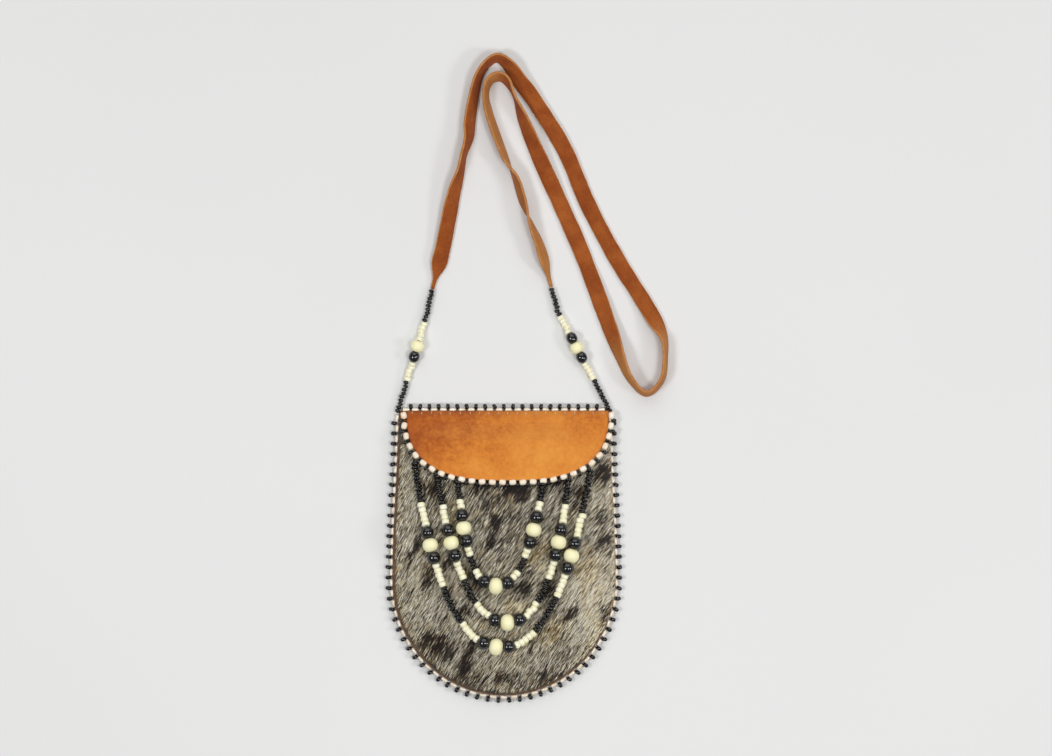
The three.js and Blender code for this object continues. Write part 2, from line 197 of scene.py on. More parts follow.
class Look:
    """A material with a Principled shader, and short ways to add its nodes."""

    def __init__(self, name, color, roughness, **sockets):
        self.material = bpy.data.materials.new(name)
        self.material.use_nodes = True
        self.tree = self.material.node_tree
        self.shader = self.tree.nodes["Principled BSDF"]
        self.shader.inputs["Base Color"].default_value = srgb(color)
        self.shader.inputs["Roughness"].default_value = roughness
        for socket, value in sockets.items():
            self.shader.inputs[socket.replace("_", " ")].default_value = value
        self.place = None

    def node(self, kind, output, sockets, **settings):
        """An output of a new node, with each of its sockets linked to a source or set to a value."""
        made = self.tree.nodes.new(kind)
        for key, value in settings.items():
            setattr(made, key, value)
        for socket, value in sockets.items():
            if isinstance(value, bpy.types.NodeSocket):
                self.tree.links.new(value, made.inputs[socket])
            else:
                made.inputs[socket].default_value = value
        return made.outputs[output]

    def coords(self):
        if self.place is None:
            self.place = self.node("ShaderNodeTexCoord", "Object", {})
        return self.place

    def noise(self, scale, detail=3, rough=0.55, stretch=None):
        at = self.coords()
        if stretch:
            turned = {"Vector": at, "Rotation": stretch[0], "Scale": stretch[1]}
            at = self.node("ShaderNodeMapping", "Vector", turned)
        sockets = {"Vector": at, "Scale": scale, "Detail": detail, "Roughness": rough}
        return self.node("ShaderNodeTexNoise", "Fac", sockets)

    def ramp(self, source, stops):
        made = self.node("ShaderNodeValToRGB", "Color", {"Fac": source})
        points = made.node.color_ramp.elements
        while len(points) < len(stops):
            points.new(0.5)
        for point, (at, code) in zip(points, stops):
            point.position = at
            point.color = srgb(code)
        return made

    def math(self, operation, a, b):
        return self.node("ShaderNodeMath", "Value", {0: a, 1: b}, operation=operation)

    def weighted(self, *parts):
        """The sum of sources, each times its share."""
        scaled = [self.math("MULTIPLY", source, share) for source, share in parts]
        total = scaled[0]
        for part in scaled[1:]:
            total = self.math("ADD", total, part)
        return total

    def blend(self, share, a, b):
        sockets = dict(zip(MIX_INPUTS, (share, a, b)))
        return self.node("ShaderNodeMix", MIX_RESULT, sockets, data_type="RGBA")

    def along(self, axis, low, high):
        part = self.node("ShaderNodeSeparateXYZ", axis, {0: self.coords()})
        sockets = {"Value": part, "From Min": low, "From Max": high}
        return self.node("ShaderNodeMapRange", "Result", sockets)

    def link(self, source, socket):
        self.tree.links.new(source, self.shader.inputs[socket])

    def color(self, source):
        self.link(source, "Base Color")

    def rough(self, source, low, high):
        sockets = {"Value": source, "To Min": low, "To Max": high}
        self.link(self.node("ShaderNodeMapRange", "Result", sockets), "Roughness")

    def bump(self, source, depth, strength):
        sockets = {"Height": source, "Distance": depth, "Strength": strength}
        self.link(self.node("ShaderNodeBump", "Normal", sockets), "Normal")


NAP_SCALE = 3200
MOTTLES_TO_BLOTCH = 9
DRY_SHEEN = 0.25
STRAP_SHEEN = 0.05
FLAP_SHEEN = 0.08


def napped(name, stops, blotch, sheen):
    """Napped leather before it is coloured, and its tone: large soft blotches with small mottling."""
    look = Look(name, stops[1][1], 0.9, Sheen_Weight=sheen, Sheen_Roughness=0.6, Specular_IOR_Level=0.2)
    broad = look.noise(blotch, detail=4, rough=0.6)
    small = look.noise(blotch * MOTTLES_TO_BLOTCH, detail=5, rough=0.7)
    nap = look.noise(NAP_SCALE, detail=2)
    look.rough(small, low=0.82, high=0.98)
    look.bump(look.weighted((nap, 1), (small, 0.8)), depth=0.00012, strength=0.8)
    return look, look.weighted((broad, 0.62), (small, 0.38))


def suede(name, stops, blotch, sheen=DRY_SHEEN):
    look, tone = napped(name, stops, blotch, sheen)
    look.color(look.ramp(tone, stops))
    return look.material


FLAP_TONES = [(0.2, "#823810"), (0.4, "#b05a20"), (0.58, "#d88231"), (0.8, "#e89b42")]
# Changes of tone over the flap: along which axis, from where to where in metres, and by how much; the
# last, darker towards the right, is painted shade against the lamp on that side
FLAP_TONE_AND_PAINTED_SHADE = [("X", -0.05, 0.01, 0.3), ("Y", 0.072, 0.042, 0.12), ("X", 0.01, 0.05, -0.07)]
FLAP_DARKER = -0.2


def flap_suede():
    """The flap is darker towards its left and top, and brightest towards its lower middle; its darkening
    towards the right is painted shade.
    """
    look, tone = napped("flap_suede", FLAP_TONES, blotch=60, sheen=FLAP_SHEEN)
    shades = [(look.along(axis, low, high), share) for axis, low, high, share in FLAP_TONE_AND_PAINTED_SHADE]
    shaded = look.math("ADD", look.weighted((tone, 1), *shades), FLAP_DARKER)
    look.color(look.ramp(shaded, FLAP_TONES))
    return look.material


def bead_glass(name, stops, low, high, coat, gloss=0.5):
    look = Look(name, stops[0][1], low, Coat_Weight=coat, Coat_Roughness=0.05, Specular_IOR_Level=gloss)
    from_bead_to_bead = look.noise(scale=330, detail=1)
    fine = look.noise(scale=2600, detail=2)
    look.color(look.ramp(from_bead_to_bead, stops))
    look.rough(fine, low, high)
    look.bump(fine, depth=0.00004, strength=0.35)
    return look.material


def bead_wood():
    look = Look("pale_wood", "#f4e3a2", 0.5, Coat_Weight=0.12, Coat_Roughness=0.3)
    grain = look.noise(scale=700, detail=5, rough=0.65, stretch=((0, 0, 0.6), (1, 0.22, 1)))
    pores = look.noise(scale=3600, detail=3, rough=0.7)
    tone = look.weighted((grain, 0.7), (pores, 0.3))
    look.color(look.ramp(tone, [(0.25, "#fcedac"), (0.45, "#fff8c4"), (0.7, "#fffddc")]))
    look.rough(pores, low=0.42, high=0.62)
    look.bump(tone, depth=0.00006, strength=0.5)
    return look.material


def waxed_thread():
    look = Look("waxed_thread", "#d8cdb0", 0.6)
    twist = look.noise(scale=4200, detail=1, stretch=((0, 0, 0.7), (1, 0.3, 1)))
    look.color(look.ramp(twist, [(0.3, "#b7a988"), (0.7, "#e8dfc6")]))
    look.rough(twist, low=0.5, high=0.75)
    look.bump(twist, depth=0.00008, strength=0.6)
    return look.material


def skin_under_hair():
    look = Look("pelt_under_hair", "#4d463b", 0.9)
    look.color(look.ramp(look.noise(scale=160, detail=4), [(0.3, "#2c261f"), (0.7, "#655c4d")]))
    look.rough(look.noise(scale=900), low=0.8, high=0.95)
    look.bump(look.noise(scale=2400), depth=0.0001, strength=0.7)
    return look.material


RUST = [(0.22, "#6d300f"), (0.45, "#914718"), (0.62, "#a75a23"), (0.85, "#bd7638")]
TAN = [(0.22, "#7d4019"), (0.45, "#9e5a26"), (0.62, "#af6b33"), (0.85, "#c48850")]
# A paler golden copy of the strap's face colour: painted light, where the standing strip faces the light
PAINTED_LIGHT_GOLD = [(0.22, "#915625"), (0.45, "#b07036"), (0.62, "#bf8043"), (0.85, "#cf9a61")]
PEACH = [(0.22, "#9d612d"), (0.45, "#b77a44"), (0.62, "#c68e5a"), (0.85, "#d8aa7d")]
BACK = [(0.22, "#8a5228"), (0.45, "#a86a38"), (0.62, "#b97d49"), (0.85, "#cc9763")]
PELT_EDGE = [(0.25, "#3a2615"), (0.5, "#64452a"), (0.75, "#8a6743")]
PELT_INNER = [(0.25, "#a98a63"), (0.5, "#c3a67e"), (0.75, "#d6bf9b")]
CREAM = [(0.3, "#f8f2c6"), (0.5, "#fdf8d6"), (0.7, "#fffce4")]
EDGE_CREAM = [(0.3, "#f8e4c6"), (0.5, "#fceed8"), (0.7, "#fef6e8")]
BLACK = [(0.35, "#020203"), (0.65, "#0d0d10")]
ROUND_BLACK = [(0.3, "#08080a"), (0.7, "#121216")]
PAINTED_LIGHT_ATTRIBUTE = "painted_light_share"


def strap_face():
    """Rust-brown suede with painted light: it turns to a paler golden copy by the share that the strip's
    points carry.
    """
    look, tone = napped("strap_face", RUST, blotch=85, sheen=STRAP_SHEEN)
    share = look.node("ShaderNodeAttribute", "Fac", {}, attribute_name=PAINTED_LIGHT_ATTRIBUTE)
    look.color(look.blend(share, look.ramp(tone, RUST), look.ramp(tone, PAINTED_LIGHT_GOLD)))
    return look.material


flap_look = flap_suede()
STRAP_FACE, STRAP_REVERSE, STRAP_EDGE = range(3)
strap_looks = [
    strap_face(),
    suede("strap_reverse", TAN, blotch=85, sheen=STRAP_SHEEN),
    suede("strap_cut_edge", PEACH, blotch=300, sheen=STRAP_SHEEN),
]
back_look = suede("back_hide", BACK, blotch=45)
SKIN, SKIN_EDGE, SKIN_INNER = range(3)
skin_looks = [
    skin_under_hair(),
    suede("pelt_edge", PELT_EDGE, blotch=240),
    suede("pelt_inner", PELT_INNER, blotch=90),
]
cream_look = bead_glass("cream_glass", CREAM, 0.18, 0.34, coat=0.3)
edge_cream_look = bead_glass("edge_cream_glass", EDGE_CREAM, 0.2, 0.4, coat=0.2)
black_look = bead_glass("black_glass", BLACK, 0.07, 0.12, coat=0.1)
round_look = bead_glass("round_black_glass", ROUND_BLACK, 0.06, 0.12, coat=0.1, gloss=0.8)
wood_look = bead_wood()
thread_look = waxed_thread()


# Meshes: parts are gathered in millimetres, then become one object that rides on a body
def add_piece(mesh, materials, face_slots, smooth, body, replaces=()):
    for material in materials:
        mesh.materials.append(material)
    mesh.polygons.foreach_set("material_index", face_slots)
    mesh.polygons.foreach_set("use_smooth", [smooth] * len(mesh.polygons))
    mesh.update(calc_edges=True)
    made = add_object(mesh.name, mesh)
    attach(made, body)
    if replaces:
        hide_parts(*replaces)
    return made


class Gather:
    def __init__(self):
        self.points = []
        self.faces = []
        self.slots = []
        self.count = 0

    def add(self, points, faces, slots):
        """Adds points and faces, with one material slot for all the faces or a list of one for each."""
        self.points.append(np.asarray(points, float))
        self.faces.extend([i + self.count for i in face] for face in faces)
        self.slots.extend([slots] * len(faces) if isinstance(slots, int) else slots)
        self.count += len(points)

    def object(self, name, materials, body, slot, replaces=()):
        mesh = bpy.data.meshes.new(name)
        mesh.from_pydata((np.concatenate(self.points) * MM).tolist(), [], self.faces)
        return add_piece(mesh, materials, self.slots, True, body, replaces)


def ring_faces(rings, sides, closed=False):
    faces = []
    for r in range(rings if closed else rings - 1):
        here = r * sides
        there = (r + 1) % rings * sides
        for i in range(sides):
            j = (i + 1) % sides
            faces.append([here + i, here + j, there + j, there + i])
    return faces


def end_caps(rings, sides):
    last = (rings - 1) * sides
    return [list(range(sides))[::-1], list(range(last, last + sides))]


def frame_along(direction):
    along = unit(direction)
    side = unit(np.cross(UP, along))
    return along, side, np.cross(along, side)


def circle_points(side, over, sides):
    angles = 2 * math.pi * np.arange(sides) / sides
    return np.outer(np.cos(angles), side) + np.outer(np.sin(angles), over)


def bead(gather, centre, direction, radius, length, slot, bore=0.5, sides=14, steps=9, fullness=0.7):
    """A bored bead: a rounded outside turned round the thread, and the wall of its hole."""
    along, side, over = frame_along(np.asarray(direction, float))
    turns = np.linspace(-math.pi / 2, math.pi / 2, steps)
    at = np.sign(np.sin(turns)) * np.abs(np.sin(turns)) ** (1 / (2 - fullness)) * length / 2
    out = bore + (radius - bore) * np.maximum(np.cos(turns), 0) ** fullness
    circle = circle_points(side, over, sides)
    rings = [centre + along * a + circle * r for a, r in zip(at, out)]
    gather.add(np.concatenate(rings), ring_faces(steps, sides, closed=True), slot)


THREAD_SIDES = 6


def tube(gather, path, radius, slot):
    """A round thread through a list of points, with one radius or one for each point."""
    path = np.asarray(path, float)
    radii = np.broadcast_to(radius, len(path))
    rings = []
    for at, direction, size in zip(path, np.gradient(path, axis=0), radii):
        _, side, over = frame_along(direction)
        rings.append(at + size * circle_points(side, over, THREAD_SIDES))
    faces = ring_faces(len(rings), THREAD_SIDES) + end_caps(len(rings), THREAD_SIDES)
    gather.add(np.concatenate(rings), faces, slot)


def panel(gather, rows, width, middle, columns, top, under, slots, on_edge=None):
    """A closed sheet: top and under surfaces, row by row, and the wall round its edge.

    The slots are those of the top, the underside and the wall. Where on_edge holds, the top's cells
    take the wall's slot."""
    top_slot, under_slot, wall_slot = slots
    across = columns + 1
    x = middle + np.outer(width(rows), np.linspace(-1, 1, across))
    y = np.repeat(rows[:, None], across, 1)
    upper = np.stack([x, y, top(x, y)], -1).reshape(-1, 3)
    lower = np.stack([x, y, under(x, y)], -1).reshape(-1, 3)
    count = len(rows)
    base = count * across
    cells = [r * across + i for r in range(count - 1) for i in range(columns)]
    tops = [[a, a + across, a + across + 1, a + 1] for a in cells]
    unders = [[base + a, base + a + 1, base + a + across + 1, base + a + across] for a in cells]
    rim = [r * across for r in range(count)]
    rim += [base - across + i for i in range(1, across)]
    rim += [r * across + columns for r in range(count - 2, -1, -1)]
    rim += list(range(columns - 1, 0, -1))
    walls = [[a, base + a, base + b, b] for a, b in zip(rim, rim[1:] + rim[:1])]
    face_slots = [top_slot] * len(tops)
    if on_edge:
        middles = [upper[face].mean(axis=0) for face in tops]
        face_slots = [wall_slot if on_edge(at[0], at[1]) else top_slot for at in middles]
    face_slots += [under_slot] * len(unders) + [wall_slot] * len(walls)
    gather.add(np.concatenate([upper, lower]), tops + unders + walls, face_slots)


def distances(points):
    steps = np.linalg.norm(np.diff(points, axis=0), axis=1)
    return np.concatenate([[0], np.cumsum(steps)])


def walk(points):
    """A line of points as a function of the distance along it, and its length."""
    points = np.asarray(points, float)
    gone = distances(points)

    def at(s):
        return np.array([np.interp(s, gone, points[:, k]) for k in range(points.shape[1])]).T

    return at, gone[-1]


def catmull(points, per_span):
    """A smooth curve through points, with as many steps to each span."""
    points = np.asarray(points, float)
    padded = np.vstack([2 * points[0] - points[1], points, 2 * points[-1] - points[-2]])
    out = []
    for k in range(len(points) - 1):
        a, b, c, d = padded[k : k + 4]
        for t in np.arange(per_span) / per_span:
            squared = (2 * a - 5 * b + 4 * c - d) * t**2
            cubed = (3 * b - a - 3 * c + d) * t**3
            out.append(0.5 * (2 * b + (c - a) * t + squared + cubed))
    out.append(points[-1])
    return np.array(out)


# Strings of beads: the order of the beads, where each lies and the thread through them
def spans(names):
    ends = np.cumsum([BEADS[name][1] for name in names])
    return np.concatenate([[0], ends[:-1]]), ends


def lifted(names):
    """How high the thread runs at a distance along it, so that the beads lie on what is under them."""
    starts, ends = spans(names)
    middles = (starts + ends) / 2
    radii = np.array([BEADS[name][0] for name in names])
    halves = (ends - starts) / 2

    def lift(s):
        beyond = np.maximum(np.abs(s - middles) - halves, 0)
        return np.max(radii - THREAD_SLOPE * beyond)

    return lift


BEAD_SLOTS = {"black": 0, "strap_black": 0, "cream": 1, "strap_cream": 1, "thread": 2}
SEED_LOOKS = [black_look, cream_look, thread_look]
EDGE_LOOKS = [black_look, edge_cream_look, thread_look]
# Black and cream: the gap between beads, how full they are, and how they sway, differ in size and lean
SEED_GAPS = (0.12, -0.12)
SEED_FULLNESS = (0.95, 0.5)
SEED_SWAY = (0.18, 0.2)
SEED_SIZES = ((0.92, 1.06), (0.93, 1.03))
SEED_LEAN = (0.12, 0.06)
JOINING_SIZE = 0.95
LARGE_LOOKS = {"round": round_look, "wood": wood_look}
LARGE_GAP = -0.1
LARGE_FULLNESS = {"round": 1.0, "wood": 0.94}
LARGE_SIDES = 28
LARGE_STEPS = 16
WOOD_SIZES = (0.96, 1.05, 0.97)
THREAD = 0.35
KNOT = 0.84
KNOT_INSET = 0.04
SWAG_BORE = 0.45
STRAP_BORE = 0.92
TANGENT_REACH = 0.3


def kind_of(name):
    return name.replace("strap_", "")


def string_of_beads(names, place, before, after, joining=None):
    """Gathers the small beads with their thread, and the large beads of each kind.

    Before and after the named beads come more of the first kind, which join the string to an edging.
    They go to the gather that moves with it, if that is another one."""
    seeds = Gather()
    large = {kind: Gather() for kind in LARGE_LOOKS}
    joining = joining or seeds
    starts, ends = spans(names)
    radius, length = BEADS[names[0]]
    slot = BEAD_SLOTS[names[0]]
    tucked = [-length * (k + 0.5) for k in range(before)]
    tucked += [ends[-1] + length * (k + 0.5) for k in range(after)]
    for s in tucked:
        along = place(s + TANGENT_REACH) - place(s - TANGENT_REACH)
        bead(joining, place(s), along, radius * JOINING_SIZE, length, slot, fullness=SEED_FULLNESS[slot])
    stations = [place(0)]
    radii = [THREAD]
    woods = 0
    for name, start, end in zip(names, starts, ends):
        radius, length = BEADS[name]
        kind = kind_of(name)
        on_strap = name != kind
        a, b = place(start), place(end)
        if kind in large:
            if name == "wood":
                radius *= WOOD_SIZES[woods]
                woods += 1
            bore = STRAP_BORE if on_strap else SWAG_BORE
            shape = (bore, LARGE_SIDES, LARGE_STEPS, LARGE_FULLNESS[kind])
            bead(large[kind], (a + b) / 2, b - a, radius, length - LARGE_GAP, 0, *shape)
            stations += [mix(a, b, KNOT_INSET), mix(b, a, KNOT_INSET)]
            radii += [KNOT, KNOT] if on_strap else [THREAD, THREAD]
        else:
            slot = BEAD_SLOTS[name]
            centre = place((start + end) / 2)
            sway = rng.normal(0, SEED_SWAY[slot]) * frame_along(b - a)[1]
            size = radius * rng.uniform(*SEED_SIZES[slot])
            way = (b - a) / length + rng.normal(0, SEED_LEAN[slot], 3)
            drawn = length - SEED_GAPS[slot]
            bead(seeds, centre + sway, way, size, drawn, slot, fullness=SEED_FULLNESS[slot])
            stations.append(centre)
            radii.append(THREAD)
        stations.append(b)
        radii.append(THREAD)
    tube(seeds, stations, radii, BEAD_SLOTS["thread"])
    return seeds, large


def make_pieces(node, body, names, seeds, large):
    """The small beads as one piece, and the large ones of each kind as one, in place of the solids."""
    strand = seeds.object(node + "_seed_beads", SEED_LOOKS, body, "strung_beads", [node + "_strand"])
    order = [kind_of(name) for name in names if kind_of(name) in large]
    pieces = []
    for kind, look in LARGE_LOOKS.items():
        nodes = [f"{node}_bead_{number}" for number, each in enumerate(order, 1) if each == kind]
        pieces.append(large[kind].object(f"{node}_{kind}_beads", [look], body, kind + "_beads", nodes))
    return strand, pieces


# Strap: a strip of suede and the two strands that carry it
# The strip's route from end to end: across, above the pouch's top, and its roll in degrees
STRAP_ROUTE = [
    (-30.7, 81, 15), (-25.4, 107.5, 36), (-21.9, 119.5, 63), (-20.2, 128, 72), (-17.6, 136.5, 60),
    (-17, 146, 47), (-14, 163, 60), (-10.1, 172, 64), (-3.6, 176.8, 60), (2.5, 173, 42),
    (7.5, 166, 22), (16.1, 154.3, 8), (30.6, 130.5, 4), (42, 103.7, 0), (56.1, 77, 0),
    (68.6, 57, -5), (75.5, 45.5, -25), (80, 37, -64), (80.8, 28, -76), (79.3, 15.8, -76),
    (71.6, 8.6, -75), (63.4, 15.8, -72), (58, 28, -56), (53, 42, -20), (40, 77, 0),
    (28.4, 103.7, -2), (17.6, 127.5, -20), (10.2, 145, -50), (5.6, 157, -84), (1.6, 165, -66),
    (-2.6, 167.5, -56), (-7.4, 165, -66), (-9.1, 157.5, -72), (-6.5, 146, -64), (0.6, 127, -72),
    (6, 116.5, -108), (9.6, 105, -112), (13.6, 93.5, -78), (18.6, 81, -58),
]
# The strands' routes, from the pouch's corners
LEFT_ROUTE = [(-0.4, 0.9), (3.9, 15), (7.4, 26.5), (12.4, 43.3), (16.1, 58.5), (18.1, 67)]
RIGHT_ROUTE = [
    (0.1, 0.9), (-7.8, 16.2), (-13.9, 27.5), (-20.4, 40.3), (-24.9, 48.5), (-29.1, 63), (-31.2, 71),
]
FIVE = ["strap_cream"] * 5
EIGHT = ["strap_black"] * 8
NINE = ["strap_black"] * 9
LEFT_BEADS = EIGHT + FIVE + ["strap_round", "strap_wood"] + FIVE + NINE
RIGHT_BEADS = NINE + FIVE + ["strap_round", "strap_wood", "strap_round"] + FIVE + EIGHT
ROUTE_STEPS = 12
CORNER_RISE = 0.55
STRAND_POINTS = 60


def strand_place(route, corner, names):
    line, _ = walk(catmull(np.array(route) + corner, ROUTE_STEPS))
    lift = lifted(names)

    def place(s):
        at = line(max(s, 0)) + min(s, 0) * (line(1) - line(0))
        return np.array([*at, FLOOR_GAP + lift(s) + CORNER_RISE * max(-s, 0)])

    return place


def make_strand(node, place, names):
    """One strand from the pouch's corner to the strap's end."""
    seeds, large = string_of_beads(names, place, 1, 0)
    strand, pieces = make_pieces(node, "pouch", names, seeds, large)
    length = spans(names)[1][-1]
    path = np.array([place(s) for s in np.linspace(0, length, STRAND_POINTS)]) * MM
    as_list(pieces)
    return place(length)


STRAP_STEPS = 8
SECTION_STEPS = 5
STRAP_NECK = 3.5
# Uneven cutting of the strip: how wide, over what length and from where
STRAP_WAVER = [(0.16, 5.3, 0), (0.12, 2.1, 1)]
EDGE_CUT = 0.25
EDGE_FLAT = 0.45
# Stretches of the route, in points, where the face is painted paler and golden as painted light, and how
# it fades in and out
PAINTED_LIGHT_STRETCHES = [(17, 22), (30, 42)]
PAINTED_LIGHT_FADE = 1.2


def painted_light_share(point):
    """How much painted light the face carries at a point of the route: where the strip stands with its
    face towards the light, it is painted paler and golden.
    """
    painted_light = 0
    for first, last in PAINTED_LIGHT_STRETCHES:
        begun = smoothstep(point, first - PAINTED_LIGHT_FADE, first + PAINTED_LIGHT_FADE / 2)
        ended = smoothstep(point, last - PAINTED_LIGHT_FADE / 2, last + PAINTED_LIGHT_FADE)
        painted_light = max(painted_light, begun * (1 - ended))
    return painted_light


def strap_rings(left_end, right_end):
    """Sections of the strip with rounded edges, its centre line and the slots of a section's faces."""
    route = np.array(STRAP_ROUTE) + (0, TOP, 0)
    first = [*(left_end[:2] + (0, CLEARANCE)), route[0, 2]]
    last = [*(right_end[:2] + (0, CLEARANCE)), route[-1, 2]]
    smooth = catmull(np.vstack([first, route, last]), STRAP_STEPS)
    flat = np.column_stack([smooth[:, :2], np.zeros(len(smooth))])
    rolls = np.radians(smooth[:, 2])
    gone = distances(flat)
    waver = sum(size * np.sin(gone / wave + start) for size, wave, start in STRAP_WAVER)
    from_end = np.minimum(gone, gone[-1] - gone)
    spread = smoothstep(from_end, STRAP_NECK, STRAP_NECK + STRAP_TAPER)
    widths = mix(STRAP_END_WIDTH, STRAP_WIDTH + waver, spread) / 2
    half = STRAP_THICKNESS / 2
    edge = half * EDGE_FLAT
    rings = []
    middles = []
    for at, direction, roll, width in zip(flat, np.gradient(flat, axis=0), rolls, widths):
        along, left, _ = frame_along(direction)
        side = left * math.cos(roll) + UP * math.sin(roll)
        over = np.cross(along, side)
        middle = at + (0, 0, FLOOR_GAP + width * abs(side[2]) + half * abs(over[2]))
        across = np.linspace(width - EDGE_CUT, EDGE_CUT - width, SECTION_STEPS)
        outline = [(width, -edge), (width, edge)]
        outline += [(w, half) for w in across]
        outline += [(-width, edge), (-width, -edge)]
        outline += [(-w, -half) for w in across]
        rings.append([middle + side * w + over * h for w, h in outline])
        middles.append(middle)
    strip = SECTION_STEPS - 1
    slots = [STRAP_EDGE] * 2 + [STRAP_FACE] * strip + [STRAP_EDGE] * 3
    slots += [STRAP_REVERSE] * strip + [STRAP_EDGE]
    return rings, middles, slots


def make_strap():
    left = strand_place(LEFT_ROUTE, (-TOP_WIDTH / 2, TOP), LEFT_BEADS)
    right = strand_place(RIGHT_ROUTE, (TOP_WIDTH / 2, TOP), RIGHT_BEADS)
    left_end = make_strand("strap_left", left, LEFT_BEADS)
    right_end = make_strand("strap_right", right, RIGHT_BEADS)
    rings, middles, slots = strap_rings(left_end, right_end)
    count = len(rings)
    sides = len(rings[0])
    faces = ring_faces(count, sides) + end_caps(count, sides)
    strip = Gather()
    strip.add(np.concatenate(rings), faces, slots * (count - 1) + [STRAP_EDGE] * 2)
    strap = strip.object("strap_strip", strap_looks, "pouch", "strap_suede", ["strap"])
    # Painted light: how much of the golden copy each point of the strip carries
    painted_light = [painted_light_share(k / STRAP_STEPS - 1) for k in range(count)]
    shares = strap.data.attributes.new(PAINTED_LIGHT_ATTRIBUTE, "FLOAT", "POINT")
    shares.data.foreach_set("value", np.repeat(painted_light, sides).astype(np.float32))
    path = np.array(middles) * MM


make_strap()

# Swags: catenaries between two stitches on the flap's edge
CATENARY_RANGE = 40
CATENARY_TRIES = 60
GROUP = ["round", "wood", "round"]

# The flap's edging, with the beads that join the swags to it, and the points that their threads meet at
flap_trim = Gather()
hangers = []


def stitch_point(share, sign):
    """Where a strand leaves the flap's edging, at a share of the flap's half-width."""
    trim = FLAP_CREAM_RADIUS + CLEARANCE
    wide = FLAP_WIDTH / 2 + trim
    deep = FLAP_DEPTH + trim
    n = FLAP_FULLNESS
    across = share * wide
    below = deep * (1 - share**n) ** (1 / n)
    outward = unit(np.array([across ** (n - 1) / wide**n, below ** (n - 1) / deep**n]))
    outward *= FLAP_CREAM_RADIUS + STITCH_GAP + STRAND_RADIUS * outward[0]
    return FLAP_SHIFT + sign * (across + outward[0]), TOP - below - outward[1]


def swag_place(left_share, right_share, lean_share, names):
    start = stitch_point(left_share, -1)
    end = stitch_point(right_share, 1)
    span = end[0] - start[0]
    rise = end[1] - start[1]
    level = math.sqrt(spans(names)[1][-1] ** 2 - rise**2)
    low = span / CATENARY_RANGE
    high = span * CATENARY_RANGE
    for _ in range(CATENARY_TRIES):
        tried = (low + high) / 2
        if 2 * tried * math.sinh(span / (2 * tried)) > level:
            low = tried
        else:
            high = tried
    start_turn = math.asinh(rise / level) - span / (2 * low)
    start_height = low * math.cosh(start_turn)
    lift = lifted(names)

    def place(s):
        from_lowest = low * math.sinh(start_turn) + s
        height = math.hypot(low, from_lowest)
        lean = lean_share * FLAP_WIDTH * (start_height - height) / (start_height - low)
        x = start[0] + low * (math.asinh(from_lowest / low) - start_turn) + lean
        y = start[1] + height - start_height
        return np.array([x, y, float(front_top(x, y)) + CLEARANCE + lift(s)])

    return place


def make_swag(name, left, right, lean, blacks, creams, axis):
    creams = ["cream"] * creams
    names = ["black"] * blacks[0]
    for count in blacks[1:]:
        names += creams + GROUP + creams + ["black"] * count
    place = swag_place(left, right, lean, names)
    seeds, large = string_of_beads(names, place, 1, 1, flap_trim)
    for end in (place(0), place(spans(names)[1][-1])):
        turning = np.array([end[0], *axis])
        tube(seeds, [end, turning], THREAD, BEAD_SLOTS["thread"])
        hangers.append(turning)
    make_pieces(name, name, names, seeds, large)


for swag_name, swag in SWAGS.items():
    make_swag(swag_name, *swag)

# Edgings: cream and black beads in turn, each set off the edge, and their thread
# Radius, length, distance from the edge, material and looseness of the two kinds of bead
POUCH_TRIM = [
    (0.85, 3.3, 0.9, BEAD_SLOTS["cream"], 0.05),
    (1.5, 1.9, 2.5, BEAD_SLOTS["black"], 0.22),
]
FLAP_TRIM = [
    (1.5, 3.5, 1.6, BEAD_SLOTS["cream"], 0.12),
    (1.4, 1.6, 2.9, BEAD_SLOTS["black"], 0.2),
]
TRIM_SIZES = (0.94, 1.02)
TRIM_LEAN = 0.15
TRIM_TANGENT = 0.2
TRIM_THREAD = 0.16
TRIM_THREAD_STEPS = 3
FLAP_TRIM_DROP = 0.9
TOP_TRIM_DROP = 0.3
ROUND_ANGLES = (3, 88)
FLAP_ANGLES = (4, 88)
LEAST_ROW = 0.1
OUTLINE_ROWS = 40
FLAP_TRIM_ROWS = 60


def edge_line(rows, width, middle):
    left = [(middle - float(width(y)), y) for y in rows]
    right = [(middle + float(width(y)), y) for y in rows[::-1]]
    return np.array(left + right)


def edging(gather, line, repeat, kinds, height):
    """Strings the beads along a line and returns their middles."""
    at, length = walk(line)
    count = 2 * round(length / repeat) + 1
    path = []
    for k in range(count):
        s = (k + 0.5) * length / count
        ahead = unit(at(min(s + TRIM_TANGENT, length)) - at(max(s - TRIM_TANGENT, 0)))
        outward = np.array([ahead[1], -ahead[0]])
        radius, long, offset, slot, loose = kinds[k % 2]
        centre = at(s) + outward * offset
        centre = np.array([*centre, height(*centre)])
        way = ahead - rng.normal(0, loose) * outward
        direction = np.array([*way, rng.normal(0, TRIM_LEAN)])
        bead(gather, centre, direction, radius * rng.uniform(*TRIM_SIZES), long, slot)
        path.append(centre)
    tube(gather, catmull(path, TRIM_THREAD_STEPS), TRIM_THREAD, BEAD_SLOTS["thread"])
    return np.array(path)


def round_rows(top_row, count):
    straight = np.linspace(top_row, SHOULDER, count)
    angles = np.radians(np.linspace(*ROUND_ANGLES, count))
    return np.concatenate([straight, SHOULDER - ROUND_HEIGHT * np.sin(angles)])


def flap_rows(top_row, count, depth):
    angles = np.radians(np.linspace(*FLAP_ANGLES, count))
    rows = TOP - depth * np.sin(angles) ** (2 / FLAP_FULLNESS)
    return np.concatenate([[top_row], rows[rows < top_row - LEAST_ROW]])


def pouch_trim_height(x, y):
    return EDGE_Z


def flap_trim_height(x, y):
    """The flap's edging lies on the fur, and above the mouth it follows the flap's edge."""
    inside = np.clip(x - FLAP_SHIFT, -flap_half_width(y), flap_half_width(y)) + FLAP_SHIFT
    floor = front_top(x, y) if y < MOUTH else BACK_THICKNESS
    return float(max(floor + CLEARANCE + FLAP_TRIM[0][0], flap_under(inside, y) + FLAP_THICKNESS / 2))


